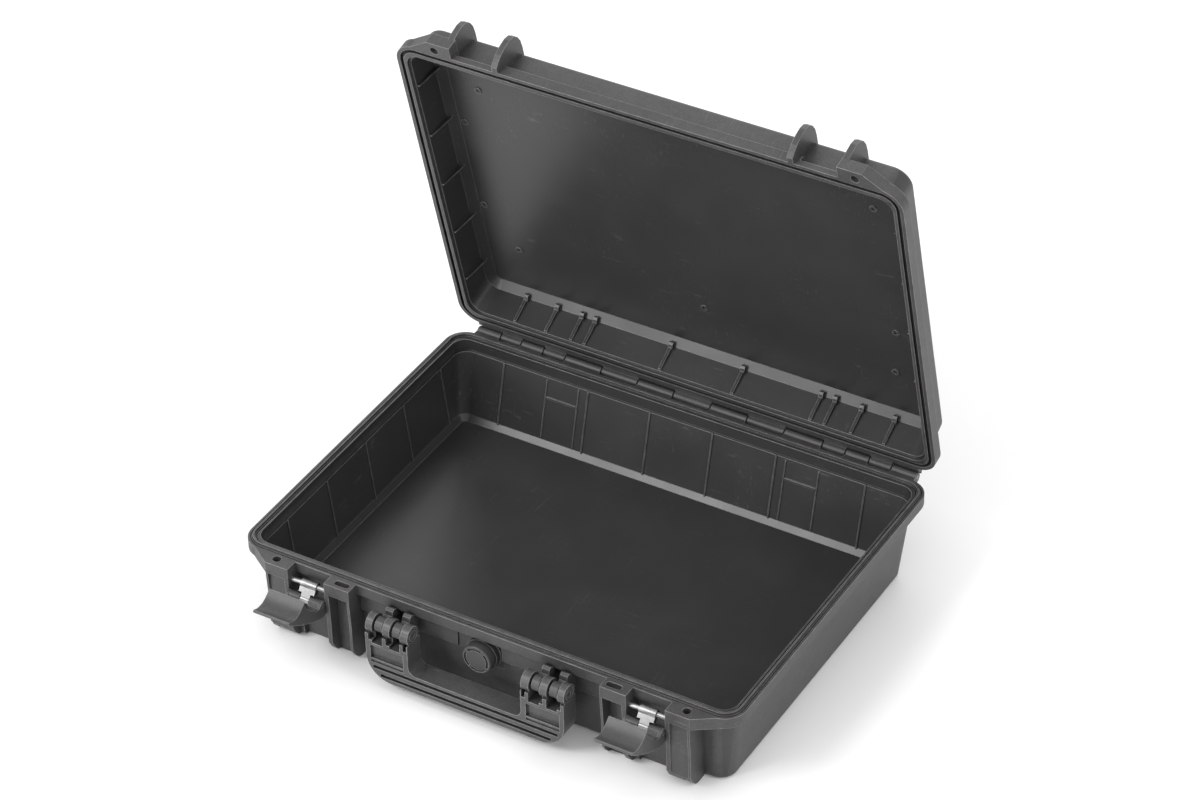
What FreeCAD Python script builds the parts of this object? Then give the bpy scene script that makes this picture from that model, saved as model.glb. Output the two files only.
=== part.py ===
import FreeCAD, Part
import math
import os

# Hard equipment case, millimetres.
# Origin: middle of the base's rim rectangle, on the flat bottom face.
# +X runs right along the front, +Y to the back (the hinge side), +Z up.
# The lid is drawn shut and then turned to the angle it stands open at.

# ---- driving dimensions -------------------------------------------------
RIM_X = 250.0            # half length of the rim
RIM_Y = 182.5            # half width of the rim
RIM_R = 21.0             # rim corner radius
RIM_Z = 82.0             # height of the base's rim
BAND = 12.0              # height of the thick band round each rim
GAP = 0.4                # gap between the two rims when shut
LID_DEPTH = 39.2         # lid height above its own rim
OPEN_ANGLE = 76.0        # how far open the lid stands

BODY_R = 18.0            # corner radius of the base and lid bodies
BODY_TOP_X = 241.0       # half length of the body under the band
BODY_TOP_Y = 173.0       # half width of the body under the band
BODY_LOW_X = 237.0       # half length of the body at the floor
BODY_FRONT_Y = -170.0    # front of the body at the floor
BODY_BACK_Y = 155.0      # back of the body at the floor
BODY_EDGE_R = 5.0        # rounded edge round the bottom
WALL = 3.2
FLOOR = 4.0
CHAMFER = 5.0            # sloping strip along the inside of the floor
INSIDE_LOW_X = 230.5     # inside of the walls where the strip begins
INSIDE_BACK_Y = 153.3
INSIDE_FRONT_Y = -165.5

MOUTH_X = 240.0          # half length of the opening inside the rim
MOUTH_Y = 171.5          # half width of the opening inside the rim
MOUTH_R = 14.0           # corner radius of the opening
STEP = 2.0               # ledge under the mouth
LID_BACK_TOP = 168.5     # back of the lid at its top, outside
LID_STRIP_Y = 163.2      # back of the sloping strip inside the lid
LID_PANEL_Y = 155.2      # back edge of the lid's flat panel
LID_STRIP_H = 6.6        # height of that strip
LID_STRIP_W = 8.0        # its width along the other three walls
LID_SKIN = 2.8           # thickness of the lid's panel
MARK_R = 3.7             # round moulding marks on the lid's inside
PANEL_MARKS = [(-198.0, -106.5), (198.0, -111.0), (-193.0, 102.5), (198.0, 102.5), (4.0, 99.5),
               (-221.0, -58.0), (-221.5, 52.0), (204.0, 47.0)]
LID_RIB_XS = [-191.5, -158.0, -131.0, -116.5, -35.8, 39.8, 120.6, 135.0, 162.0, 195.5]
LID_RIB_T = 3.0
LID_NUB_T = 4.6

TONGUE_Y = 177.2         # the sealing ridge, half width of its centre line
TONGUE_W = 1.5
TONGUE_H = 2.2
RIM_LINE = 1.2           # width and depth of the lines beside the ridge
GROOVE_W = 3.4           # seal groove in the lid rim
GROOVE_DEEP = 5.0
SEAL_W = 3.0
SEAL_H = 2.4

HINGE_Y = 191.0
HINGE_Z = 80.0
BARREL_R = 4.5
KNUCKLE_EDGE = 0.7       # chamfer round the ends of a knuckle
FLANGE_CLEAR = 1.2       # gap between the barrel and the lid's hinge flange
HINGE_PIN_R = 1.75
RUN = 0.05               # radial running clearance
SIDE = 0.8               # side clearance between hinge knuckles
KNUCKLE_EDGES = [19.5, 57.6, 96.3, 135.5, 159.0, 183.0, 205.5, 231.5]

# padlock bosses, latch columns and fins, given for the right-hand side
HOLE_X = 206.5
HOLE_Y = -186.5
HOLE_R = 4.0
BOSS_FRONT = -195.0
RECESS_IN = 152.0        # latch recess, inner side
RECESS_OUT = 190.0       # latch recess, outer side
INNER_BOSS_IN = 126.5
OUTER_BOSS_OUT = 213.5
SLOT_X = 137.0
SLOT_Y = -188.3
SLOT_LONG = 15.2
SLOT_WIDE = 6.0
COLUMN_Y = -193.5        # front of the upright columns beside the latch
COLUMN_RIB = 4.0         # column wall next to the latch
COLUMN_EDGE = 2.2        # thinner wall on the column's far side
CHANNEL_Y = -181.0       # back of the open channel between the inner ones
PANEL_DEEP = 1.0         # sunk panel in the front of an outer column
SHAFT_EXTRA = 0.5        # the padlock hole widens by this below the rim's band
COLUMN_FOOT_Y = -182.5
SHELF_Z = 38.0           # top of the filling between the columns
FOOT_STEP = 4.5          # how far the column feet reach into the recess
FIN_T = 5.5
FIN_TOP = 3.0            # how far the fins stand over the lid's top
FIN_IN = 148.0           # face of the inner fin nearest the latch
FIN_OUT = 190.8          # face of the outer fin nearest the latch

# latch, closed by swinging the lever up and over the keeper on the lid
LATCH_X = (RECESS_IN + RECESS_OUT) / 2.0
BAR_Y = -188.5
BAR_Z = 68.0
BAR_R = 2.5
LEVER_PIN_Y = -197.0
LEVER_PIN_Z = 57.5
LEVER_PIN_R = 2.0
LEVER_HALF = 18.6
CHEEK = 3.0
LINK_HALF = 8.0
EYE_HALF = 4.5           # half width of the link's eye, between the sleeves
EYE_LONG = 5.6           # the link is that narrow up to here from the pin
LINK_T = 2.6             # half thickness of the link
HUB_R = 4.3              # plastic sleeves round the lever's pin
KEEPER_Z = 88.4          # top of the ledge the lever hooks over

# handle
PIVOT_Y = -201.0
PIVOT_Z = 66.0
KNUCKLE_R = 9.2
LUG_R = 7.0
HANDLE_PIN_R = 2.5
HANDLE_HALF = 100.0
GRIP_INNER = 57.0
GRIP_BOTTOM = 10.5
GRIP_TOP = 29.0
HANDLE_FRONT = -211.0
HANDLE_BACK = -191.0
LUG_W = 7.6
LUG_SLOT = 10.8          # width of the handle's slot round a lug
LUG_XS = [88.1, 70.2]    # middles of the two lugs of one arm
GROOVES = [(14.6, 86.5), (22.4, 93.5)]   # grooves along the grip's front: height, half length
GROOVE_H = 3.6
GROOVE_IN = 3.2

# pressure valve on the front wall
VALVE_Z = 54.0
PAD_Y = -176.5           # face of the raised band the valve sits on
INNER_PAD_Y = -165.5     # flat face inside for the valve's nut
FLANGE_R = 15.5
FLANGE_T = 4.6
SPIGOT_R = 10.0
SPIGOT_T = 5.0
BARREL_VALVE_R = 8.0
CAP_R = 14.2
CAP_T = 8.6

V = FreeCAD.Vector


# ---- helpers ------------------------------------------------------------
def box(x0, x1, y0, y1, z0, z1):
    return Part.makeBox(x1 - x0, y1 - y0, z1 - z0, V(x0, y0, z0))


def both_sides(shape):
    """The shape and its mirror image across the middle of the case."""
    return [shape, shape.mirror(V(0, 0, 0), V(1, 0, 0))]


def joined(shapes):
    first = shapes[0]
    return first.fuse(list(shapes[1:])).removeSplitter()


def minus(shape, tools):
    return shape.cut(list(tools))


def prism_x(points, x0, x1):
    """Outline of (y, z) points drawn out along X."""
    corners = [V(x0, y, z) for y, z in points]
    face = Part.Face(Part.makePolygon(corners + corners[:1]))
    return face.extrude(V(x1 - x0, 0, 0))


def prism_z(points, z0, z1):
    """Outline of (x, y) points drawn out along Z."""
    corners = [V(x, y, z0) for x, y in points]
    face = Part.Face(Part.makePolygon(corners + corners[:1]))
    return face.extrude(V(0, 0, z1 - z0))


def rod_x(y, z, radius, x0, x1):
    return Part.makeCylinder(radius, x1 - x0, V(x0, y, z), V(1, 0, 0))


def rod_y(x, z, radius, y0, y1):
    return Part.makeCylinder(radius, y1 - y0, V(x, y0, z), V(0, 1, 0))


def rod_z(x, y, radius, z0, z1):
    return Part.makeCylinder(radius, z1 - z0, V(x, y, z0), V(0, 0, 1))


def rounded_wire(x0, x1, y0, y1, radius, z):
    """Rectangle with four round corners, in the plane at height z."""
    half = radius * math.sqrt(0.5)
    corners = [(x1, y0, 1, -1), (x1, y1, 1, 1), (x0, y1, -1, 1), (x0, y0, -1, -1)]
    arcs = []
    for x, y, sx, sy in corners:
        cx = x - sx * radius
        cy = y - sy * radius
        flat_x = V(x, cy, z)
        flat_y = V(cx, y, z)
        middle = V(cx + sx * half, cy + sy * half, z)
        start, end = (flat_y, flat_x) if sx * sy < 0 else (flat_x, flat_y)
        arcs.append(Part.Arc(start, middle, end))
    edges = []
    for number, arc in enumerate(arcs):
        edges.append(arc.toShape())
        following = arcs[(number + 1) % 4]
        edges.append(Part.LineSegment(arc.EndPoint, following.StartPoint).toShape())
    return Part.Wire(edges)


def rounded_block(half_x, half_y, radius, z0, z1):
    wire = rounded_wire(-half_x, half_x, -half_y, half_y, radius, z0)
    return Part.Face(wire).extrude(V(0, 0, z1 - z0))


def tapered(low, high):
    """Solid between two rounded rectangles (x0, x1, y0, y1, radius, z)."""
    wires = [rounded_wire(*low), rounded_wire(*high)]
    return Part.makeLoft(wires, True, True)


def rim_ring(middle_y, width, z0, z1):
    """Ring that follows the rim at a constant distance from its edge."""
    inset = RIM_Y - middle_y
    out_x = RIM_X - inset + width / 2.0
    out_y = middle_y + width / 2.0
    out_r = RIM_R - inset + width / 2.0
    outer = rounded_block(out_x, out_y, out_r, z0, z1)
    inner = rounded_block(out_x - width, out_y - width, out_r - width, z0, z1)
    return outer.cut(inner)


def lid_turned(shape, angle=OPEN_ANGLE):
    """A lid piece drawn shut, turned about the hinge."""
    return shape.rotated(V(0, HINGE_Y, HINGE_Z), V(-1, 0, 0), angle)


def knuckle_spans(for_base):
    """X ranges of the hinge knuckles, from the left end to the right end."""
    edges = [-x for x in reversed(KNUCKLE_EDGES)] + KNUCKLE_EDGES
    first = 0 if for_base else 1
    return [(edges[i], edges[i + 1]) for i in range(first, len(edges) - 1, 2)]


# ---- base ---------------------------------------------------------------
def base_body():
    low = (-BODY_LOW_X, BODY_LOW_X, BODY_FRONT_Y, BODY_BACK_Y, BODY_R - 3, 0.0)
    high = (-BODY_TOP_X, BODY_TOP_X, -BODY_TOP_Y, BODY_TOP_Y, BODY_R, RIM_Z - BAND)
    body = tapered(low, high)
    bottom = [e for e in body.Edges if e.BoundBox.ZMax < 0.01]
    body = body.makeFillet(BODY_EDGE_R, bottom)
    band = rounded_block(RIM_X, RIM_Y, RIM_R, RIM_Z - BAND, RIM_Z)
    under = [e for e in band.Edges if e.BoundBox.ZMax < RIM_Z - BAND + 0.01]
    band = band.makeChamfer(1.5, under)
    return [body, band]


def base_hollow():
    mouth = rounded_block(MOUTH_X, MOUTH_Y, MOUTH_R, RIM_Z - BAND, RIM_Z + 1)
    top_x = MOUTH_X - STEP
    top_y = MOUTH_Y - STEP
    strip_z = FLOOR + CHAMFER
    low_r = MOUTH_R - 4.0
    wall_low = (-INSIDE_LOW_X, INSIDE_LOW_X, INSIDE_FRONT_Y, INSIDE_BACK_Y, low_r, strip_z)
    wall_top = (-top_x, top_x, -top_y, top_y, MOUTH_R, RIM_Z - BAND)
    floor_rect = (-INSIDE_LOW_X + CHAMFER, INSIDE_LOW_X - CHAMFER, INSIDE_FRONT_Y + CHAMFER,
                  INSIDE_BACK_Y - CHAMFER, low_r - CHAMFER, FLOOR)
    return [mouth, tapered(wall_low, wall_top), tapered(floor_rect, wall_low)]


def back_wall_y(z):
    """Inside face of the base's back wall at a height."""
    low = FLOOR + CHAMFER
    share = (z - low) / (RIM_Z - BAND - low)
    return INSIDE_BACK_Y + share * (MOUTH_Y - STEP - INSIDE_BACK_Y)


def end_wall_x(z):
    """Inside face of the base's end wall at a height."""
    low = FLOOR + CHAMFER
    share = (z - low) / (RIM_Z - BAND - low)
    return INSIDE_LOW_X + share * (MOUTH_X - STEP - INSIDE_LOW_X)


def front_boss(x0, x1, z0, z1):
    """Block that stands out of the front of a rim band."""
    return box(x0, x1, BOSS_FRONT, -MOUTH_Y - 4, z0, z1)


def outer_boss(z0, z1):
    """Padlock boss whose outer end slopes back into the corner."""
    points = [(RECESS_OUT, -178.0), (RECESS_OUT, BOSS_FRONT), (OUTER_BOSS_OUT, BOSS_FRONT),
              (240.0, -177.5), (240.0, -168.0), (RECESS_OUT, -168.0)]
    return prism_z(points, z0, z1)


def padlock_hole(z0, z1):
    return rod_z(HOLE_X, HOLE_Y, HOLE_R, z0, z1)


def strap_slot(z0, z1):
    half = (SLOT_LONG - SLOT_WIDE) / 2.0
    radius = SLOT_WIDE / 2.0
    return joined([rod_z(SLOT_X - half, SLOT_Y, radius, z0, z1),
                   rod_z(SLOT_X + half, SLOT_Y, radius, z0, z1),
                   box(SLOT_X - half, SLOT_X + half, SLOT_Y - radius, SLOT_Y + radius, z0, z1)])


def latch_column(x0, x1):
    """Upright under a boss of the rim, rounded back at its lower end."""
    outline = [(-169.0, 0.0), (-181.0, 0.0), (-185.5, 2.0), (-189.5, 6.5), (COLUMN_Y, 14.0),
               (COLUMN_Y, 40.0), (BOSS_FRONT, 66.0),
               (BOSS_FRONT, RIM_Z - BAND + 1), (-169.0, RIM_Z - BAND + 1)]
    return prism_x(outline, x0, x1)


def column_channel(x0, x1):
    """Open front of an inner column, between its two walls."""
    return box(x0, x1, BOSS_FRONT - 1, CHANNEL_Y, -1.0, RIM_Z - BAND - 0.01)


def column_panel(x0, x1):
    """Shallow sunk panel in the front of an outer column."""
    return box(x0, x1, BOSS_FRONT - 1, COLUMN_Y + PANEL_DEEP, -1.0, RIM_Z - BAND - 0.01)


def latch_foot(x0, x1):
    """Wider lower end of a column, below the reach of the lever."""
    outline = [(-169.0, 0.0), (COLUMN_FOOT_Y + 3, 0.0), (COLUMN_FOOT_Y, 3.0),
               (COLUMN_FOOT_Y - 1.5, SHELF_Z - 3), (-176.0, SHELF_Z + 3), (-169.0, SHELF_Z + 3)]
    return prism_x(outline, x0, x1)


def latch_filling():
    """Thicker wall between the two columns, below the latch."""
    outline = [(-169.0, 0.0), (-176.0, 0.0), (-177.5, 2.0), (-179.0, SHELF_Z - 3),
               (-176.0, SHELF_Z), (-169.0, SHELF_Z)]
    return prism_x(outline, RECESS_IN - 1, RECESS_OUT + 1)


def handle_lug(middle):
    """Ear on the front wall that carries the handle's pin."""
    outline = [(-171.0, 50.0), (-178.0, 54.0), (PIVOT_Y + 2.0, PIVOT_Z - LUG_R + 0.3),
               (PIVOT_Y, PIVOT_Z), (PIVOT_Y + 3.0, PIVOT_Z + LUG_R - 0.8),
               (-193.2, 68.0), (-190.8, 69.0), (-189.6, 73.0), (-187.0, 74.5), (-184.0, 73.5),
               (-181.0, 69.0), (-171.0, 69.0)]
    half = LUG_W / 2.0
    web = prism_x(outline, middle - half, middle + half)
    round_end = rod_x(PIVOT_Y, PIVOT_Z, LUG_R, middle - half, middle + half)
    return web.fuse(round_end)


def hinge_barrel(x0, x1):
    """Round part of one hinge knuckle, with chamfered ends."""
    barrel = rod_x(HINGE_Y, HINGE_Z, BARREL_R, x0 + SIDE / 2, x1 - SIDE / 2)
    ends = [e for e in barrel.Edges if e.BoundBox.XLength < 0.01]
    return barrel.makeChamfer(KNUCKLE_EDGE, ends)


def base_knuckle(x0, x1):
    web = [(RIM_Y - 1, RIM_Z - BAND + 2), (RIM_Y + 1, RIM_Z - BAND + 2),
           (HINGE_Y + 2, HINGE_Z - BARREL_R + 0.5), (HINGE_Y, HINGE_Z),
           (HINGE_Y - 2, RIM_Z), (RIM_Y - 1, RIM_Z)]
    return hinge_barrel(x0, x1).fuse(prism_x(web, x0 + SIDE / 2, x1 - SIDE / 2))


def wall_rib(outline, middle, thick):
    return prism_x(outline, middle - thick / 2, middle + thick / 2)


def base_ribs():
    """Low upright ribs on the inside of the walls."""
    ribs = []
    low = FLOOR + CHAMFER
    top = RIM_Z - BAND
    proud = 1.3
    for x in (33.0, 99.0, 190.0):
        outline = [(back_wall_y(low) + 3, low - 0.5), (back_wall_y(low) - proud, low - 0.5),
                   (back_wall_y(top) - proud, top), (back_wall_y(top) + 2, top)]
        ribs += both_sides(wall_rib(outline, x, 1.4))
    for number in range(5):
        y = 3.0 + 64.0 * (number - 2)
        near = y - 0.7
        corners = [V(end_wall_x(low) + 3, near, low - 0.5), V(end_wall_x(low) - proud, near, low - 0.5),
                   V(end_wall_x(top) - proud, near, top), V(end_wall_x(top) + 2, near, top)]
        face = Part.Face(Part.makePolygon(corners + corners[:1]))
        ribs += both_sides(face.extrude(V(0, 1.4, 0)))
    return ribs


def back_brackets():
    """Two raised H-shaped marks on the inside of the back wall."""
    pieces = []
    proud = 1.0
    low, high = 11.0, 68.0
    upright = [(back_wall_y(low) + 1, low), (back_wall_y(low) - proud, low),
               (back_wall_y(high) - proud, high), (back_wall_y(high) + 1, high)]
    low, high = 49.5, 51.5
    bar = [(back_wall_y(low) + 1, low), (back_wall_y(low) - proud, low),
           (back_wall_y(high) - proud, high), (back_wall_y(high) + 1, high)]
    inner, outer = 109.0, 143.0
    for x in (inner, outer):
        pieces += both_sides(wall_rib(upright, x, 1.2))
    pieces += both_sides(prism_x(bar, inner, outer))
    return pieces


def front_band():
    """The front wall's upper part, which stands proud behind the handle."""
    outline = [(-169.0, 45.5), (-174.0, 48.0), (PAD_Y, 50.0),
               (PAD_Y, RIM_Z - BAND + 0.5), (-169.0, RIM_Z - BAND + 0.5)]
    band = prism_x(outline, -INNER_BOSS_IN - 1, INNER_BOSS_IN + 1)
    band = band.cut(box(-27.0, 18.0, PAD_Y - 1, PAD_Y + 1.8, 40.0, RIM_Z - BAND + 1))
    collar = rod_y(0.0, VALVE_Z, FLANGE_R + 2.0, PAD_Y, -169.0)
    return [band.fuse(collar)]


def valve_inner_pad():
    return box(-17.0, 17.0, -172.0, INNER_PAD_Y, VALVE_Z - 17.0, VALVE_Z + 14.5)


def build_base():
    solid = joined(base_body() + both_sides(outer_boss(RIM_Z - BAND, RIM_Z))
                   + both_sides(front_boss(INNER_BOSS_IN, RECESS_IN, RIM_Z - BAND, RIM_Z))
                   + both_sides(latch_column(INNER_BOSS_IN, RECESS_IN))
                   + both_sides(latch_column(RECESS_OUT, OUTER_BOSS_OUT))
                   + both_sides(latch_foot(RECESS_IN - 1, RECESS_IN + FOOT_STEP))
                   + both_sides(latch_foot(RECESS_OUT - FOOT_STEP, RECESS_OUT + 1))
                   + both_sides(latch_filling()) + front_band()
                   + [ear for x in LUG_XS for ear in both_sides(handle_lug(x))]
                   + [base_knuckle(a, b) for a, b in knuckle_spans(True)])
    channels = both_sides(column_channel(INNER_BOSS_IN + COLUMN_EDGE, RECESS_IN - COLUMN_RIB))
    channels += both_sides(column_panel(RECESS_OUT + COLUMN_RIB, OUTER_BOSS_OUT - COLUMN_EDGE))
    solid = minus(solid, base_hollow() + channels)
    inside = base_ribs() + back_brackets() + [valve_inner_pad()]
    tongue = rim_ring(TONGUE_Y, TONGUE_W, RIM_Z - 0.5, RIM_Z + TONGUE_H)
    solid = joined([solid] + inside + [tongue])
    half_bar = RECESS_OUT + 5.0
    holes = both_sides(padlock_hole(RIM_Z - BAND - 1, RIM_Z + 3))
    holes += both_sides(rod_z(HOLE_X, HOLE_Y, HOLE_R + SHAFT_EXTRA, -1.0, RIM_Z - BAND))
    holes += both_sides(strap_slot(RIM_Z - BAND - 1, RIM_Z + 3))
    holes += [rim_ring(y, RIM_LINE, RIM_Z - RIM_LINE, RIM_Z + 1) for y in (TONGUE_Y + 2.6, TONGUE_Y - 2.6)]
    holes += both_sides(rod_x(BAR_Y, BAR_Z, BAR_R, RECESS_IN - 5.0, half_bar))
    holes += both_sides(rod_x(PIVOT_Y, PIVOT_Z, HANDLE_PIN_R, GRIP_INNER, HANDLE_HALF))
    holes.append(rod_x(HINGE_Y, HINGE_Z, HINGE_PIN_R, -240.0, 240.0))
    holes.append(rod_y(0.0, VALVE_Z, BARREL_VALVE_R + RUN, -185.0, -150.0))
    return minus(solid, holes)


# ---- lid, drawn shut ----------------------------------------------------
LID_RIM = RIM_Z + GAP
LID_TOP = LID_RIM + LID_DEPTH
PANEL_IN = LID_TOP - LID_SKIN


def lid_body():
    low = (-BODY_TOP_X, BODY_TOP_X, -BODY_TOP_Y, BODY_TOP_Y, BODY_R, LID_RIM + BAND)
    high = (-BODY_TOP_X + 1.5, BODY_TOP_X - 1.5, -BODY_TOP_Y + 1.5, LID_BACK_TOP,
            BODY_R, LID_TOP)
    body = tapered(low, high)
    top = [e for e in body.Edges if e.BoundBox.ZMin > LID_TOP - 0.01]
    body = body.makeFillet(4.0, top)
    band = rounded_block(RIM_X, RIM_Y, RIM_R, LID_RIM, LID_RIM + BAND)
    over = [e for e in band.Edges if e.BoundBox.ZMin > LID_RIM + BAND - 0.01]
    band = band.makeChamfer(1.5, over)
    return [body, band]


def lid_hollow():
    mouth = rounded_block(MOUTH_X, MOUTH_Y, MOUTH_R, LID_RIM - 1, LID_RIM + 3)
    rim_rect = (-MOUTH_X + STEP, MOUTH_X - STEP, -MOUTH_Y + STEP, MOUTH_Y - STEP,
                MOUTH_R, LID_RIM + 3)
    low_x = BODY_TOP_X - 1.5 - WALL - 1
    low_y = BODY_TOP_Y - 1.5 - WALL - 1
    strip = (-low_x, low_x, -low_y, LID_STRIP_Y, MOUTH_R, PANEL_IN - LID_STRIP_H)
    panel = (-low_x + LID_STRIP_W, low_x - LID_STRIP_W, -low_y + LID_STRIP_W, LID_PANEL_Y,
             MOUTH_R - LID_STRIP_W, PANEL_IN)
    return [mouth, tapered(rim_rect, strip), tapered(strip, panel)]


def lid_fin(x0, x1):
    """Rounded guard beside the latch, from the rim to just over the top."""
    top = LID_TOP + FIN_TOP
    outline = [(-168.0, LID_RIM), (-188.0, LID_RIM), (-191.5, LID_RIM + 4.0),
               (-195.0, LID_RIM + 10.0), (-197.6, LID_RIM + 18.0), (-198.5, LID_RIM + 26.0),
               (-196.8, top - 9.5), (-191.8, top - 4.2), (-185.0, top - 1.2), (-176.0, top),
               (-166.0, top), (-157.0, LID_TOP - 0.5), (-157.0, LID_TOP - 2.0),
               (-168.0, LID_TOP - 2.0)]
    return prism_x(outline, x0, x1)


def lid_knuckle(x0, x1):
    """Arm from the lid's band down to the hinge pin."""
    web = [(RIM_Y - 1, LID_RIM + 0.5), (HINGE_Y - BARREL_R + 0.4, HINGE_Z + 1.5),
           (HINGE_Y, HINGE_Z), (HINGE_Y + BARREL_R - 0.4, HINGE_Z + 1.5),
           (RIM_Y + 1, LID_RIM + BAND - 1), (RIM_Y - 1, LID_RIM + BAND - 1)]
    return hinge_barrel(x0, x1).fuse(prism_x(web, x0 + SIDE / 2, x1 - SIDE / 2))


def lid_hinge_flange():
    """Strip along the back of the lid's band that closes the view past the hinge."""
    outline = [(RIM_Y - 1, LID_RIM), (HINGE_Y + 1.0, LID_RIM), (HINGE_Y + 1.0, LID_RIM + 4.0),
               (RIM_Y, LID_RIM + BAND - 2), (RIM_Y - 1, LID_RIM + BAND - 2)]
    end = KNUCKLE_EDGES[-1]
    clear = rod_x(HINGE_Y, HINGE_Z, BARREL_R + FLANGE_CLEAR, -end - 1, end + 1)
    return prism_x(outline, -end, end).cut(clear)


def lid_ribs():
    """Gussets on the inside of the hinge wall, with blunt ends, and ribs on the end walls."""
    ribs = []
    low = LID_RIM + 4.0
    for x in LID_RIB_XS:
        outline = [(171.5, low), (167.6, low), (160.8, PANEL_IN - 8.5), (160.8, PANEL_IN - 5.0),
                   (168.0, PANEL_IN - 5.0)]
        nub = [(166.0, PANEL_IN - 12.4), (162.0, PANEL_IN - 10.6), (158.8, PANEL_IN - 8.8),
               (157.6, PANEL_IN - 6.8), (158.2, PANEL_IN - 5.0), (160.5, PANEL_IN - 3.2),
               (166.0, PANEL_IN - 3.2)]
        ribs += [wall_rib(outline, x, LID_RIB_T), wall_rib(nub, x, LID_NUB_T)]
    for number in range(5):
        y = 64.0 * (number - 2)
        corners = [V(238.5, y - 0.7, low), V(236.0, y - 0.7, low),
                   V(231.0, y - 0.7, PANEL_IN - 7), V(231.0, y - 0.7, PANEL_IN + 1),
                   V(236.5, y - 0.7, PANEL_IN + 1)]
        face = Part.Face(Part.makePolygon(corners + corners[:1]))
        ribs += both_sides(face.extrude(V(0, 1.4, 0)))
    return ribs


def lid_panel_bosses():
    """Small round moulding marks on the inside of the lid, each a low ring."""
    marks = []
    for x, y in PANEL_MARKS:
        ring = rod_z(x, y, MARK_R, PANEL_IN - 1.0, PANEL_IN + 0.5)
        marks.append(ring.cut(rod_z(x, y, MARK_R - 1.7, PANEL_IN - 2, PANEL_IN)))
    return marks


def build_lid_shut():
    solid = joined(lid_body() + both_sides(outer_boss(LID_RIM, LID_RIM + BAND))
                   + both_sides(lid_fin(FIN_IN - FIN_T, FIN_IN))
                   + both_sides(lid_fin(FIN_OUT, FIN_OUT + FIN_T))
                   + [lid_knuckle(a, b) for a, b in knuckle_spans(False)] + [lid_hinge_flange()])
    solid = minus(solid, lid_hollow())
    solid = joined([solid] + lid_ribs() + lid_panel_bosses())
    cuts = [rim_ring(TONGUE_Y, GROOVE_W, LID_RIM - 1, LID_RIM + GROOVE_DEEP)]
    cuts += both_sides(padlock_hole(LID_RIM - 1, LID_RIM + BAND + 25))
    pocket = box(RECESS_IN - 0.2, RECESS_OUT + 0.2, -185.0, -175.4, KEEPER_Z, LID_RIM + BAND + 1)
    cuts += both_sides(pocket)
    cuts.append(rod_x(HINGE_Y, HINGE_Z, HINGE_PIN_R + RUN, -240.0, 240.0))
    return minus(solid, cuts)


def build_seal_shut():
    top = LID_RIM + GROOVE_DEEP
    return rim_ring(TONGUE_Y, SEAL_W, top - SEAL_H, top)


def build_hinge_pin():
    end = KNUCKLE_EDGES[-1] - 0.5
    return rod_x(HINGE_Y, HINGE_Z, HINGE_PIN_R, -end, end)


# ---- handle -------------------------------------------------------------
def handle_outline(y):
    """Wire of the U-shaped handle, in the plane at depth y."""
    big = 25.0
    small = 8.0
    left, right, low, top = -HANDLE_HALF, HANDLE_HALF, GRIP_BOTTOM, PIVOT_Z
    bow = math.sqrt(0.5)
    edges = []

    def line(x0, z0, x1, z1):
        edges.append(Part.LineSegment(V(x0, y, z0), V(x1, y, z1)).toShape())

    def arc(cx, cz, r, sx, sz, start, end):
        middle = V(cx + sx * r * bow, y, cz + sz * r * bow)
        edges.append(Part.Arc(V(start[0], y, start[1]), middle, V(end[0], y, end[1])).toShape())

    line(left, top, left, low + big)
    arc(left + big, low + big, big, -1, -1, (left, low + big), (left + big, low))
    line(left + big, low, right - big, low)
    arc(right - big, low + big, big, 1, -1, (right - big, low), (right, low + big))
    line(right, low + big, right, top)
    line(right, top, GRIP_INNER, top)
    line(GRIP_INNER, top, GRIP_INNER, GRIP_TOP + small)
    arc(GRIP_INNER - small, GRIP_TOP + small, small, 1, -1,
        (GRIP_INNER, GRIP_TOP + small), (GRIP_INNER - small, GRIP_TOP))
    line(GRIP_INNER - small, GRIP_TOP, -GRIP_INNER + small, GRIP_TOP)
    arc(-GRIP_INNER + small, GRIP_TOP + small, small, -1, -1,
        (-GRIP_INNER + small, GRIP_TOP), (-GRIP_INNER, GRIP_TOP + small))
    line(-GRIP_INNER, GRIP_TOP + small, -GRIP_INNER, top)
    line(-GRIP_INNER, top, left, top)
    return Part.Wire(edges)


def handle_arm_cuts():
    """Slots for the lugs and the shallow front pocket of the right arm."""
    cuts = []
    half = LUG_SLOT / 2.0
    for middle in LUG_XS:
        cuts.append(box(middle - half, middle + half, -215.0, -185.0, PIVOT_Z - 15.5, 80.0))
    cuts.append(box(62.0, 95.5, -212.0, HANDLE_FRONT + 3.0, 33.5, 48.0))
    cuts.append(box(62.0, 95.5, -212.0, HANDLE_FRONT + 1.6, 29.0, 31.8))
    for inboard in (LUG_XS[0] + half, LUG_XS[1] + half, GRIP_INNER + 1.0):
        cuts.append(box(inboard - 0.1, inboard + 3.6, -212.0, -205.0, 53.5, 60.5))
    for face, inward in ((GRIP_INNER, 1), (HANDLE_HALF, -1)):
        start = min(face, face + inward * 0.8)
        ring = rod_x(PIVOT_Y, PIVOT_Z, 6.8, start, start + 0.8)
        cuts.append(ring.cut(rod_x(PIVOT_Y, PIVOT_Z, 5.4, start - 1, start + 2)))
    return cuts


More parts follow.
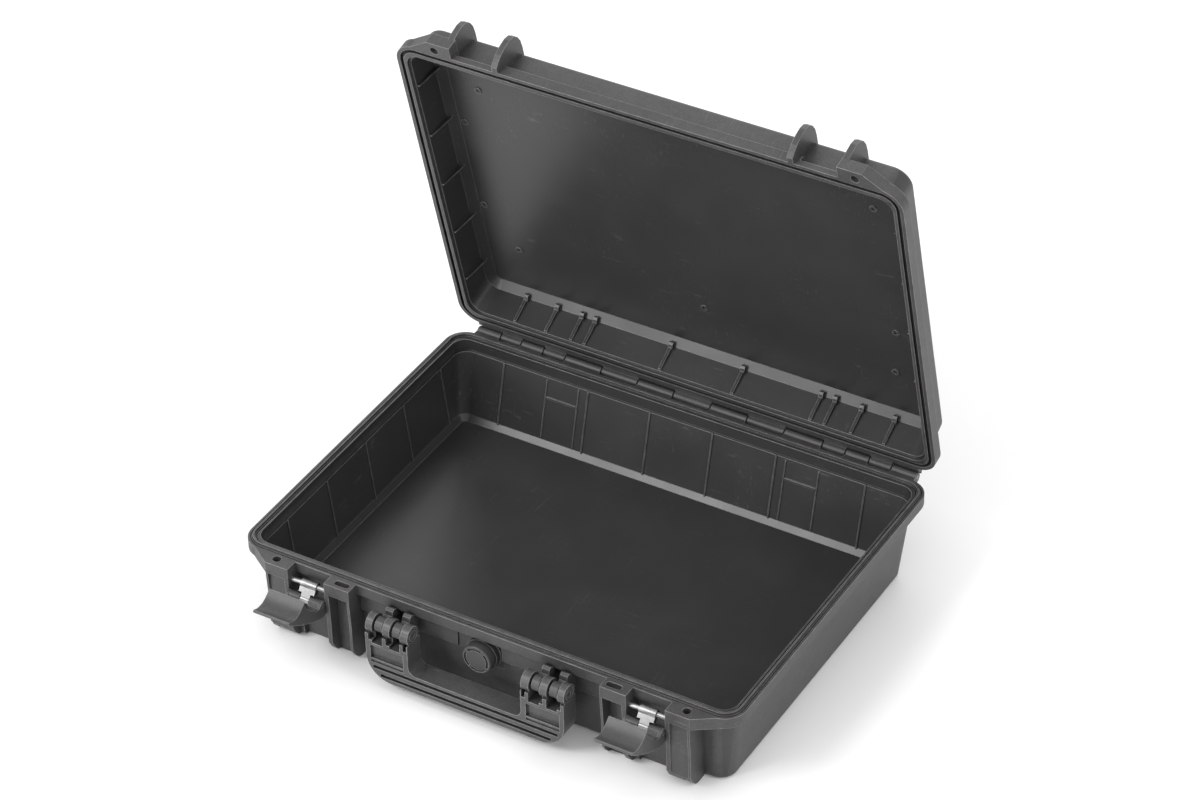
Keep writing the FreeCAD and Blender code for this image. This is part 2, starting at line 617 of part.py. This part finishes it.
def build_handle():
    profile = Part.Face(handle_outline(HANDLE_FRONT))
    body = profile.extrude(V(0, HANDLE_BACK - HANDLE_FRONT, 0))
    knuckles = both_sides(rod_x(PIVOT_Y, PIVOT_Z, KNUCKLE_R, GRIP_INNER, HANDLE_HALF))
    body = joined([body] + knuckles)
    keep_round = joined([box(-120.0, 120.0, -215.0, -185.0, -1.0, PIVOT_Z - 6.0),
                         rod_x(PIVOT_Y, PIVOT_Z, KNUCKLE_R, -120.0, 120.0)])
    body = body.common(keep_round)
    cuts = []
    for cut in handle_arm_cuts():
        cuts += both_sides(cut)
    for z, half in GROOVES:
        cuts.append(box(-half, half, HANDLE_FRONT - 1, HANDLE_FRONT + GROOVE_IN, z, z + GROOVE_H))
    body = minus(body, cuts)
    return minus(body, both_sides(rod_x(PIVOT_Y, PIVOT_Z, HANDLE_PIN_R + RUN, 50.0, 110.0)))


def build_handle_pin():
    return rod_x(PIVOT_Y, PIVOT_Z, HANDLE_PIN_R, GRIP_INNER + 0.4, HANDLE_HALF - 0.4)


# ---- latch (drawn for the right-hand side) --------------------------------
def build_crossbar():
    return rod_x(BAR_Y, BAR_Z, BAR_R, RECESS_IN - 4.6, RECESS_OUT + 4.6)


def build_link():
    """Steel strap that swings on the crossbar and carries the lever's pin."""
    x0 = LATCH_X - LINK_HALF
    x1 = LATCH_X + LINK_HALF
    eye0 = LATCH_X - EYE_HALF
    eye1 = LATCH_X + EYE_HALF
    dy = BAR_Y - LEVER_PIN_Y
    dz = BAR_Z - LEVER_PIN_Z
    length = math.hypot(dy, dz)

    def strap(start, end):
        """Outline of the strap between two distances from the lever's pin."""
        points = []
        for along, side in ((start, 1), (end, 1), (end, -1), (start, -1)):
            points.append((LEVER_PIN_Y + (dy * along - side * dz * LINK_T) / length,
                           LEVER_PIN_Z + (dz * along + side * dy * LINK_T) / length))
        return points

    solid = joined([prism_x(strap(EYE_LONG, length), x0, x1), prism_x(strap(0.0, EYE_LONG + 1.0), eye0, eye1),
                    rod_x(BAR_Y, BAR_Z, BAR_R + 1.6, x0, x1),
                    rod_x(LEVER_PIN_Y, LEVER_PIN_Z, LEVER_PIN_R + 1.2, eye0, eye1)])
    return minus(solid, [rod_x(BAR_Y, BAR_Z, BAR_R + RUN, x0 - 1, x1 + 1),
                         rod_x(LEVER_PIN_Y, LEVER_PIN_Z, LEVER_PIN_R, x0 - 1, x1 + 1)])


def smooth_face(strokes):
    """Face in the plane x = 0 bounded by strokes, each a smooth curve through (y, z) points."""
    edges = []
    for stroke in strokes:
        points = [V(0, y, z) for y, z in stroke]
        if len(points) == 2:
            edges.append(Part.LineSegment(*points).toShape())
        else:
            curve = Part.BSplineCurve()
            curve.interpolate(points)
            edges.append(curve.toShape())
    return Part.Face(Part.Wire(edges))


def prism_of(face, x0, x1):
    moved = face.copy()
    moved.translate(V(x0, 0, 0))
    return moved.extrude(V(x1 - x0, 0, 0))


def build_lever():
    """Two cheeks, hollowed to clear the crossbar, under a scooped plate.

    The plate's near edge hooks over the keeper on the lid.
    """
    py = LEVER_PIN_Y
    pz = LEVER_PIN_Z
    inner = [(py + 4.6, pz + 1.5), (py + 1.5, pz + 4.4), (py - 3.0, pz + 3.6),
             (py - 7.0, pz + 0.8), (py - 12.0, pz + 2.4), (py - 18.0, pz + 7.6),
             (py - 24.0, pz + 14.5), (py - 28.0, pz + 22.0)]
    under_plate = [(py - 28.0, pz + 22.0), (py - 38.0, pz + 15.5), (py - 48.5, pz + 15.4)]
    tip = [(py - 48.5, pz + 15.4), (py - 49.0, pz + 13.5)]
    lower = [(py - 49.0, pz + 13.5), (py - 36.0, pz + 4.6), (py - 18.0, pz - 5.4), (py - 1.5, pz - 12.0)]
    heel = [(py - 1.5, pz - 12.0), (py + 3.5, pz - 10.0)]
    back = [(py + 3.5, pz - 10.0), (py + 4.6, pz + 1.5)]
    inner_strokes = [[inner[i], inner[i + 1]] for i in range(len(inner) - 1)]
    cheek = smooth_face(inner_strokes + [under_plate, tip, lower, heel, back])
    top = [(py - 26.4, pz + 24.6), (py - 31.5, pz + 20.2), (py - 37.5, pz + 17.0),
           (py - 44.5, pz + 16.4), (py - 51.2, pz + 18.8)]
    end = [(py - 51.2, pz + 18.8), (py - 52.4, pz + 17.6), (py - 51.8, pz + 15.8)]
    under = [(py - 51.8, pz + 15.8), (py - 45.0, pz + 13.2), (py - 38.0, pz + 13.8),
             (py - 31.8, pz + 16.8), (py - 27.6, pz + 20.6)]
    near = [(py - 27.6, pz + 20.6), (py - 26.4, pz + 24.6)]
    plate = smooth_face([top, end, under, near])
    x0 = LATCH_X - LEVER_HALF
    x1 = LATCH_X + LEVER_HALF
    gap = 0.4
    hubs = [rod_x(py, pz, HUB_R, x0, LATCH_X - EYE_HALF - gap),
            rod_x(py, pz, HUB_R, LATCH_X + EYE_HALF + gap, x1)]
    solid = joined([prism_of(plate, x0, x1), prism_of(cheek, x0, x0 + CHEEK),
                    prism_of(cheek, x1 - CHEEK, x1)] + hubs)
    bore = rod_x(py, pz, LEVER_PIN_R + RUN, x0 - 1, x1 + 1)
    return minus(solid, [bore])


def build_lever_pin():
    end = LEVER_HALF + 0.25
    return rod_x(LEVER_PIN_Y, LEVER_PIN_Z, LEVER_PIN_R, LATCH_X - end, LATCH_X + end)


# ---- pressure valve -------------------------------------------------------
def valve_levels():
    flange_front = PAD_Y - FLANGE_T
    return flange_front, flange_front - SPIGOT_T


def build_valve_housing():
    flange_front, spigot_front = valve_levels()
    solid = joined([rod_y(0.0, VALVE_Z, FLANGE_R, flange_front, PAD_Y),
                    rod_y(0.0, VALVE_Z, SPIGOT_R, spigot_front, PAD_Y),
                    rod_y(0.0, VALVE_Z, BARREL_VALVE_R, flange_front, INNER_PAD_Y + 8.0)])
    ring_groove = rod_y(0.0, VALVE_Z, 13.9, PAD_Y - 2.6, PAD_Y + 1)
    ring_groove = ring_groove.cut(rod_y(0.0, VALVE_Z, 11.1, PAD_Y - 3.6, PAD_Y + 2))
    return minus(solid, [ring_groove, rod_y(0.0, VALVE_Z, 5.0, spigot_front - 1, -150.0),
                         rod_y(0.0, VALVE_Z, 7.0, spigot_front - 1, spigot_front + 2.5)])


def build_valve_ring_seal():
    return Part.makeTorus(12.5, 1.25, V(0, PAD_Y - 1.3, VALVE_Z), V(0, 1, 0))


def build_valve_membrane():
    _, spigot_front = valve_levels()
    return rod_y(0.0, VALVE_Z, 6.9, spigot_front + 1.9, spigot_front + 2.5)


def build_valve_retainer():
    _, spigot_front = valve_levels()
    ring = rod_y(0.0, VALVE_Z, 6.98, spigot_front + 0.7, spigot_front + 1.85)
    return ring.cut(rod_y(0.0, VALVE_Z, 4.8, spigot_front - 1, spigot_front + 3))


def build_valve_cap():
    flange_front, spigot_front = valve_levels()
    back = flange_front - 0.3
    cap = rod_y(0.0, VALVE_Z, CAP_R, back - CAP_T, back)
    face = [e for e in cap.Edges if e.BoundBox.YMax < back - CAP_T + 0.01]
    cap = cap.makeFillet(1.0, face)
    front = back - CAP_T
    ring = rod_y(0.0, VALVE_Z, 12.3, front - 1, front + 1.4)
    ring = ring.cut(rod_y(0.0, VALVE_Z, 10.1, front - 2, front + 2))
    bridge = box(-20.0, 20.0, front - 2, front + 2, VALVE_Z - 1.5, VALVE_Z + 1.5)
    for angle in (35.0, 125.0):
        ring = ring.cut(bridge.rotated(V(0, 0, VALVE_Z), V(0, 1, 0), angle))
    socket = rod_y(0.0, VALVE_Z, SPIGOT_R + RUN, spigot_front - 0.4, back + 1)
    return minus(cap, [ring, socket])


def build_valve_nut():
    across = 25.0
    radius = across / math.sqrt(3.0)
    corners = [V(radius * math.cos(math.radians(60 * k)), INNER_PAD_Y,
                 VALVE_Z + radius * math.sin(math.radians(60 * k))) for k in range(6)]
    hexagon = Part.Face(Part.makePolygon(corners + corners[:1])).extrude(V(0, 5.0, 0))
    return hexagon.cut(rod_y(0.0, VALVE_Z, BARREL_VALVE_R + 0.02, -190.0, -140.0))


# ---- write every piece ----------------------------------------------------
def side_pieces():
    makers = {"lever": build_lever, "link": build_link,
              "crossbar": build_crossbar, "lever_pin": build_lever_pin}
    pieces = {}
    for name, maker in makers.items():
        right, left = both_sides(maker())
        pieces["latch_right_" + name] = right
        pieces["latch_left_" + name] = left
    pieces["handle_pin_right"], pieces["handle_pin_left"] = both_sides(build_handle_pin())
    return pieces


def all_pieces():
    pieces = {
        "base_shell": build_base(),
        "lid_shell": lid_turned(build_lid_shut()),
        "lid_seal": lid_turned(build_seal_shut()),
        "hinge_pin": build_hinge_pin(),
        "handle": build_handle(),
        "valve_housing": build_valve_housing(),
        "valve_ring_seal": build_valve_ring_seal(),
        "valve_membrane": build_valve_membrane(),
        "valve_retainer": build_valve_retainer(),
        "valve_cap": build_valve_cap(),
        "valve_nut": build_valve_nut(),
    }
    pieces.update(side_pieces())
    return pieces


os.makedirs("parts", exist_ok=True)
for node, shape in all_pieces().items():
    shape.exportStep("parts/" + node + ".step")
    print(node, len(shape.Solids), shape.isValid(), round(shape.Volume))
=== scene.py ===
"""Looks of the hard equipment case: moulded plastic shells, latches, carry handle and valve."""
import math

import bpy
from mathutils import Matrix, Vector

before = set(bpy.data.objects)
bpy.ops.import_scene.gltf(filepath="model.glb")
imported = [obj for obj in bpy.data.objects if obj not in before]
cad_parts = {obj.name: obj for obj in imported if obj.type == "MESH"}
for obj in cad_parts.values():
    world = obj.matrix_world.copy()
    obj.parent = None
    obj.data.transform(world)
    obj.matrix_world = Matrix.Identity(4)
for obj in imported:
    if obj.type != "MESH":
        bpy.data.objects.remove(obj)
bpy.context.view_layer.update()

MM = 0.001
HINGE = (191.0 * MM, 80.0 * MM)     # y and z of the hinge line
LID_OPEN = 76.0                     # degrees the lid stands open
HOLLOW_REACH = 5.0 * MM             # how near other faces must be for a place to count as a hollow
SCRATCH_LONG = (1.0, 0.06, 0.25)    # stretch of the two sets of fine scratches
SCRATCH_CROSS = (0.07, 1.0, 0.3)
# painted shade: greys of the glossy inside, darker than the outside skin
POLISHED_SHADED_GREYS = (0.024, 0.039)
POLISHED_GLOSS = (0.28, 0.38)       # roughness of the polished inside

# ---- materials ------------------------------------------------------------


def add(tree, kind, settings=None, inputs=None):
    """A shader node, with its settings, and its sockets set to values or linked to other sockets."""
    made = tree.nodes.new(kind)
    for key, value in (settings or {}).items():
        setattr(made, key, value)
    for key, value in (inputs or {}).items():
        if isinstance(value, bpy.types.NodeSocket):
            tree.links.new(value, made.inputs[key])
        else:
            made.inputs[key].default_value = value
    return made


def new_material(name):
    made = bpy.data.materials.new(name)
    made.use_nodes = True
    made.node_tree.nodes.clear()
    return made, made.node_tree


def grey(level, warm=0.0):
    """A near-neutral colour, slightly warm or cool."""
    return (level * (1 + warm), level, level * (1 - warm), 1.0)


def noise(tree, coords, size, detail=2.0, roughness=0.5):
    """Noise whose features are about that many metres across, 0 to 1."""
    made = add(tree, "ShaderNodeTexNoise", None,
               {"Vector": coords, "Scale": 1.0 / size, "Detail": detail, "Roughness": roughness})
    return made.outputs["Fac"]


def remap(tree, value, low, high, to_low, to_high):
    made = add(tree, "ShaderNodeMapRange", {"clamp": True},
               {"Value": value, "From Min": low, "From Max": high, "To Min": to_low, "To Max": to_high})
    return made.outputs["Result"]


def math_node(tree, operation, first, second=0.0):
    made = add(tree, "ShaderNodeMath", {"operation": operation}, {0: first, 1: second})
    return made.outputs[0]


def mix_colour(tree, fac, first, second):
    made = add(tree, "ShaderNodeMix", {"data_type": "RGBA"})
    for key, value in (("Factor", fac), ("A", first), ("B", second)):
        sockets = [s for s in made.inputs if s.name == key and s.enabled]
        socket = sockets[0]
        if isinstance(value, bpy.types.NodeSocket):
            tree.links.new(value, socket)
        else:
            socket.default_value = value
    return [s for s in made.outputs if s.enabled][0]


def stretched(tree, coords, scale, turn=(0.0, 0.0, 0.0)):
    made = add(tree, "ShaderNodeMapping", None, {"Vector": coords, "Scale": scale, "Rotation": turn})
    return made.outputs["Vector"]


def edge_mask(tree, radius, gain):
    """1 along edges and corners, 0 on flat faces."""
    rounded = add(tree, "ShaderNodeBevel", {"samples": 6}, {"Radius": radius})
    true = add(tree, "ShaderNodeNewGeometry")
    dot = add(tree, "ShaderNodeVectorMath", {"operation": "DOT_PRODUCT"},
              {0: rounded.outputs["Normal"], 1: true.outputs["Normal"]})
    away = math_node(tree, "SUBTRACT", 1.0, dot.outputs["Value"])
    return math_node(tree, "MINIMUM", math_node(tree, "MULTIPLY", away, gain), 1.0)


def below(tree, value, start, slope=0.0, along=0.0):
    """1 where the value is under start + slope * along."""
    limit = math_node(tree, "ADD", math_node(tree, "MULTIPLY", along, slope), start)
    return math_node(tree, "LESS_THAN", value, limit)


def all_of(tree, masks):
    """1 where every mask is 1."""
    product = masks[0]
    for mask in masks[1:]:
        product = math_node(tree, "MULTIPLY", product, mask)
    return product


def inside_of_base(tree, coords):
    """1 on the glossy inside of the base, which is also painted darker as shade; the limits run through
    the middle of its walls.
    """
    axes = add(tree, "ShaderNodeSeparateXYZ", None, {0: coords}).outputs
    x, y, z = axes["X"], axes["Y"], axes["Z"]
    return all_of(tree, [below(tree, math_node(tree, "ABSOLUTE", x), 233.4 * MM, 0.088, z),
                         below(tree, y, 152.9 * MM, 0.262, z),
                         below(tree, math_node(tree, "MULTIPLY", y, -1.0), 167.5 * MM, 0.052, z),
                         math_node(tree, "GREATER_THAN", z, 2.0 * MM)])


def inside_of_lid(tree, coords):
    """1 on the glossy inside of the lid, which is also painted darker as shade, worked out as if it were
    shut.
    """
    moved = add(tree, "ShaderNodeVectorMath", {"operation": "SUBTRACT"},
                {0: coords, 1: (0.0, HINGE[0], HINGE[1])})
    turned = add(tree, "ShaderNodeVectorRotate", {"rotation_type": "X_AXIS"},
                 {"Vector": moved.outputs["Vector"], "Angle": math.radians(LID_OPEN)})
    back = add(tree, "ShaderNodeVectorMath", {"operation": "ADD"},
               {0: turned.outputs["Vector"], 1: (0.0, HINGE[0], HINGE[1])})
    axes = add(tree, "ShaderNodeSeparateXYZ", None, {0: back.outputs["Vector"]}).outputs
    x, y, z = axes["X"], axes["Y"], axes["Z"]
    return all_of(tree, [below(tree, math_node(tree, "ABSOLUTE", x), 238.8 * MM),
                         below(tree, y, 194.2 * MM, -0.254, z),
                         below(tree, math_node(tree, "MULTIPLY", y, -1.0), 170.4 * MM),
                         below(tree, z, 120.2 * MM)])


def moulded(name, dark, light, worn_and_highlit, rough, grain=0.5, grain_height=0.02, edge=0.9, warm=0.0,
            scuffs=0.35, polished_and_shaded=None):
    """Injection-moulded plastic: pebbled skin, cloudy gloss, faint scuffs, paler edges that are part
    rubbed wear and part painted edge highlight.

    Hollows get painted shade: ambient occlusion darkens their colour. Where the inside mask is 1 the skin
    is glossier and painted darker as shade.
    grain, grain_height and edge are in millimetres.
    """
    made, tree = new_material(name)
    coords = add(tree, "ShaderNodeTexCoord").outputs["Object"]
    shiny_and_shaded = polished_and_shaded(tree, coords) if polished_and_shaded else 0.0
    cloud = noise(tree, coords, 60 * MM, 4.0, 0.55)
    blotch = noise(tree, coords, 9 * MM, 3.0, 0.6)
    speck = noise(tree, coords, 1.9 * MM, 2.0, 0.7)
    fine = noise(tree, coords, 0.9 * grain * MM, 3.0, 0.6)
    pebble = add(tree, "ShaderNodeTexVoronoi", {"feature": "SMOOTH_F1"},
                 {"Vector": coords, "Scale": 1.0 / (1.8 * grain * MM), "Smoothness": 0.8})

    along = stretched(tree, coords, SCRATCH_LONG, (0.3, 0.5, 0.7))
    across = stretched(tree, coords, SCRATCH_CROSS, (-0.4, 0.2, 1.1))
    long_lines = noise(tree, along, 1.6 * MM, 2.0, 0.5)
    cross_lines = noise(tree, across, 1.3 * MM, 2.0, 0.5)
    patch = remap(tree, noise(tree, coords, 45 * MM, 2.0, 0.5), 0.48, 0.66, 0.0, 1.0)
    rubbed = math_node(tree, "MULTIPLY", patch,
                       math_node(tree, "MAXIMUM",
                                 remap(tree, long_lines, 0.63, 0.72, 0.0, 1.0),
                                 remap(tree, cross_lines, 0.65, 0.73, 0.0, 1.0)))

    shade = math_node(tree, "ADD", math_node(tree, "MULTIPLY", cloud, 0.35),
                      math_node(tree, "ADD", math_node(tree, "MULTIPLY", blotch, 0.2),
                                math_node(tree, "MULTIPLY", speck, 0.45)))
    spread = remap(tree, shade, 0.38, 0.62, 0.0, 1.0)
    matt = mix_colour(tree, spread, grey(dark, warm), grey(light, warm))
    # inside colour: cloudy tone, painted darker than the outside as shade
    sleek_and_shaded = mix_colour(tree, cloud, grey(POLISHED_SHADED_GREYS[0]), grey(POLISHED_SHADED_GREYS[1]))
    body = mix_colour(tree, shiny_and_shaded, matt, sleek_and_shaded)
    # ambient occlusion: drives the painted shade in hollows and keeps paler edges out of them
    openness = add(tree, "ShaderNodeAmbientOcclusion", {"samples": 6}, {"Distance": HOLLOW_REACH})
    hollow = openness.outputs["AO"]
    # paler edges: part rubbed edge wear, part painted edge highlight; kept out of hollows
    paler_edges = math_node(tree, "MULTIPLY", edge_mask(tree, edge * MM, 5.0),
                     remap(tree, hollow, 0.62, 0.85, 0.0, 1.0))
    patchy_wear_and_highlight = math_node(tree, "MULTIPLY", paler_edges, remap(tree, blotch, 0.3, 0.7, 0.45, 1.0))
    scuffed = mix_colour(tree, math_node(tree, "MULTIPLY", rubbed, scuffs), body, grey(worn_and_highlit * 0.5, warm))
    colour = mix_colour(tree, patchy_wear_and_highlight, scuffed, grey(worn_and_highlit, warm))
    # painted shade: hollows are darkened towards a quarter of the darkest grey
    colour = mix_colour(tree, remap(tree, hollow, 0.35, 0.8, 0.75, 0.0), colour, grey(dark * 0.25))

    uneven = math_node(tree, "ADD", math_node(tree, "MULTIPLY", cloud, 0.6),
                       math_node(tree, "MULTIPLY", fine, 0.4))
    matt_gloss = remap(tree, uneven, 0.3, 0.7, rough - 0.07, rough + 0.07)
    sleek_gloss = remap(tree, cloud, 0.2, 0.8, *POLISHED_GLOSS)
    matt_share = math_node(tree, "MULTIPLY", matt_gloss, math_node(tree, "SUBTRACT", 1.0, shiny_and_shaded))
    gloss = math_node(tree, "ADD", matt_share, math_node(tree, "MULTIPLY", sleek_gloss, shiny_and_shaded))
    rounded = add(tree, "ShaderNodeBevel", {"samples": 6}, {"Radius": edge * MM})
    height = math_node(tree, "ADD", math_node(tree, "MULTIPLY", pebble.outputs["Distance"], 0.6),
                       math_node(tree, "MULTIPLY", fine, 0.7))
    bump = add(tree, "ShaderNodeBump", None,
               {"Strength": 0.6, "Distance": grain_height * MM, "Height": height,
                "Normal": rounded.outputs["Normal"]})
    shader = add(tree, "ShaderNodeBsdfPrincipled", None,
                 {"Base Color": colour, "Roughness": gloss, "Normal": bump.outputs["Normal"],
                  "IOR": 1.49, "Specular IOR Level": 0.5})
    out = add(tree, "ShaderNodeOutputMaterial")
    tree.links.new(shader.outputs["BSDF"], out.inputs["Surface"])
    return made


def rubber(name):
    made, tree = new_material(name)
    coords = add(tree, "ShaderNodeTexCoord").outputs["Object"]
    cells = add(tree, "ShaderNodeTexVoronoi", None, {"Vector": coords, "Scale": 1.0 / (0.5 * MM)})
    dust = noise(tree, coords, 6 * MM, 4.0, 0.65)
    colour = mix_colour(tree, remap(tree, dust, 0.4, 0.75, 0.0, 0.6), grey(0.012), grey(0.045, 0.04))
    bump = add(tree, "ShaderNodeBump", None,
               {"Strength": 0.5, "Distance": 0.05 * MM, "Height": cells.outputs["Distance"]})
    shader = add(tree, "ShaderNodeBsdfPrincipled", None,
                 {"Base Color": colour, "Roughness": remap(tree, dust, 0.3, 0.7, 0.62, 0.8),
                  "Normal": bump.outputs["Normal"], "Specular IOR Level": 0.35})
    out = add(tree, "ShaderNodeOutputMaterial")
    tree.links.new(shader.outputs["BSDF"], out.inputs["Surface"])
    return made


def brushed_steel(name):
    made, tree = new_material(name)
    coords = add(tree, "ShaderNodeTexCoord").outputs["Object"]
    lines = noise(tree, stretched(tree, coords, (0.04, 1.0, 1.0)), 0.25 * MM, 2.0, 0.5)
    stain = noise(tree, coords, 4 * MM, 3.0, 0.6)
    colour = mix_colour(tree, remap(tree, stain, 0.45, 0.75, 0.0, 0.55), grey(0.34), grey(0.2, 0.03))
    paler_edges = edge_mask(tree, 0.3 * MM, 2.5)
    colour = mix_colour(tree, paler_edges, colour, grey(0.48))
    bump = add(tree, "ShaderNodeBump", None,
               {"Strength": 0.35, "Distance": 0.02 * MM, "Height": lines})
    shader = add(tree, "ShaderNodeBsdfPrincipled", None,
                 {"Base Color": colour, "Metallic": 1.0,
                  "Roughness": remap(tree, lines, 0.3, 0.7, 0.34, 0.5), "Normal": bump.outputs["Normal"]})
    out = add(tree, "ShaderNodeOutputMaterial")
    tree.links.new(shader.outputs["BSDF"], out.inputs["Surface"])
    return made


def woven_membrane(name):
    made, tree = new_material(name)
    coords = add(tree, "ShaderNodeTexCoord").outputs["Object"]
    across = add(tree, "ShaderNodeTexWave", {"bands_direction": "X"},
                 {"Vector": coords, "Scale": 1.0 / (2.4 * MM), "Distortion": 0.6})
    down = add(tree, "ShaderNodeTexWave", {"bands_direction": "Z"},
               {"Vector": coords, "Scale": 1.0 / (2.4 * MM), "Distortion": 0.6})
    weave = math_node(tree, "MAXIMUM", across.outputs["Fac"], down.outputs["Fac"])
    colour = mix_colour(tree, weave, grey(0.5), grey(0.78))
    bump = add(tree, "ShaderNodeBump", None, {"Strength": 0.5, "Distance": 0.05 * MM, "Height": weave})
    shader = add(tree, "ShaderNodeBsdfPrincipled", None,
                 {"Base Color": colour, "Roughness": remap(tree, weave, 0.0, 1.0, 0.9, 0.75),
                  "Normal": bump.outputs["Normal"]})
    out = add(tree, "ShaderNodeOutputMaterial")
    tree.links.new(shader.outputs["BSDF"], out.inputs["Surface"])
    return made


# arguments: name, darkest grey, lightest grey, edge grey (edge wear and painted edge highlight),
# roughness
MATERIALS = {
    "case_plastic": moulded("case_skin", 0.032, 0.054, 0.26, 0.46, warm=0.02),
    "latch_plastic": moulded("latch_skin", 0.038, 0.060, 0.36, 0.42, grain=0.4),
    "handle_plastic": moulded("handle_skin", 0.041, 0.070, 0.48, 0.42, grain=0.4, warm=0.01),
    "valve_plastic": moulded("valve_skin", 0.034, 0.048, 0.42, 0.42, grain=0.35),
    "seal_rubber": rubber("seal_skin"),
    "membrane": woven_membrane("membrane_cloth"),
    "steel": brushed_steel("steel_skin"),
}



def shell_skin(name, polished_and_shaded):
    # edge grey 0.40 is edge wear and painted edge highlight; the inside mask also paints shade
    return moulded(name, 0.035, 0.061, 0.40, 0.46, warm=0.02, scuffs=0.2, polished_and_shaded=polished_and_shaded)


SHELLS = {
    "base_shell": shell_skin("base_skin", inside_of_base),
    "lid_shell": shell_skin("lid_skin", inside_of_lid),
}

for name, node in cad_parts.items():
    for place in node.material_slots:
        wanted = next((m for key, m in MATERIALS.items() if key in place.material.name), None)
        place.material = SHELLS.get(name) or wanted or MATERIALS["case_plastic"]

# ---- floor, light and camera ------------------------------------------------


def square_mesh(name, half, z):
    corners = [(-half, -half, z), (half, -half, z), (half, half, z), (-half, half, z)]
    made = bpy.data.meshes.new(name)
    made.from_pydata(corners, [], [(0, 1, 2, 3)])
    thing = bpy.data.objects.new(name, made)
    bpy.context.scene.collection.objects.link(thing)
    return thing


def pale_floor():
    made, tree = new_material("floor_skin")
    coords = add(tree, "ShaderNodeTexCoord").outputs["Object"]
    cloud = noise(tree, coords, 0.4, 3.0, 0.5)
    colour = mix_colour(tree, cloud, grey(0.90), grey(0.93))
    shader = add(tree, "ShaderNodeBsdfPrincipled", None,
                 {"Base Color": colour, "Roughness": 0.9, "Specular IOR Level": 0.1})
    out = add(tree, "ShaderNodeOutputMaterial")
    tree.links.new(shader.outputs["BSDF"], out.inputs["Surface"])
    return made


floor = square_mesh("floor", 12.0, -0.3 * MM)
floor.data.materials.append(pale_floor())


def area_light(name, place, target, size, power):
    data = bpy.data.lights.new(name, "AREA")
    data.shape = "DISK"
    data.size = size
    data.energy = power
    thing = bpy.data.objects.new(name, data)
    thing.location = place
    thing.rotation_euler = (Vector(target) - Vector(place)).to_track_quat("-Z", "Y").to_euler()
    bpy.context.scene.collection.objects.link(thing)


area_light("key_light", (-1.40, -2.10, 2.35), (0.0, 0.0, 0.12), 1.2, 46.0)
area_light("low_light", (-1.35, -3.0, 0.62), (0.0, 0.0, 0.12), 0.9, 20.0)
area_light("side_light", (2.6, -0.3, 1.9), (0.0, 0.0, 0.1), 1.3, 18.0)
area_light("back_light", (-0.8, 2.4, 2.4), (0.0, 0.2, 0.3), 1.6, 16.0)

world = bpy.data.worlds.new("studio")
bpy.context.scene.world = world
world.use_nodes = True
world.node_tree.nodes["Background"].inputs["Color"].default_value = (1.0, 1.0, 1.0, 1.0)
world.node_tree.nodes["Background"].inputs["Strength"].default_value = 1.0

bpy.context.scene.view_settings.view_transform = "Standard"

CAMERA_AT = Vector((1.50570, -2.45703, 2.39425))
CAMERA_AZIMUTH = math.radians(31.2475)
CAMERA_ELEVATION = math.radians(37.1807)
CAMERA_ROLL = math.radians(-1.4044)
CAMERA_LENS = 124.87

data = bpy.data.cameras.new("camera")
data.sensor_width = 36.0
data.lens = CAMERA_LENS
data.clip_start, data.clip_end = 0.1, 50.0
data.shift_x = 0.0008
camera = bpy.data.objects.new("camera", data)
bpy.context.scene.collection.objects.link(camera)
across = Vector((math.cos(CAMERA_AZIMUTH), math.sin(CAMERA_AZIMUTH), 0.0))
back = Vector((math.sin(CAMERA_AZIMUTH) * math.cos(CAMERA_ELEVATION),
               -math.cos(CAMERA_AZIMUTH) * math.cos(CAMERA_ELEVATION),
               math.sin(CAMERA_ELEVATION)))
up = back.cross(across)
right = across * math.cos(CAMERA_ROLL) + up * math.sin(CAMERA_ROLL)
up = up * math.cos(CAMERA_ROLL) - across * math.sin(CAMERA_ROLL)
turn = Matrix((right, up, back)).transposed().to_4x4()
camera.matrix_world = Matrix.Translation(CAMERA_AT) @ turn
bpy.context.scene.camera = camera
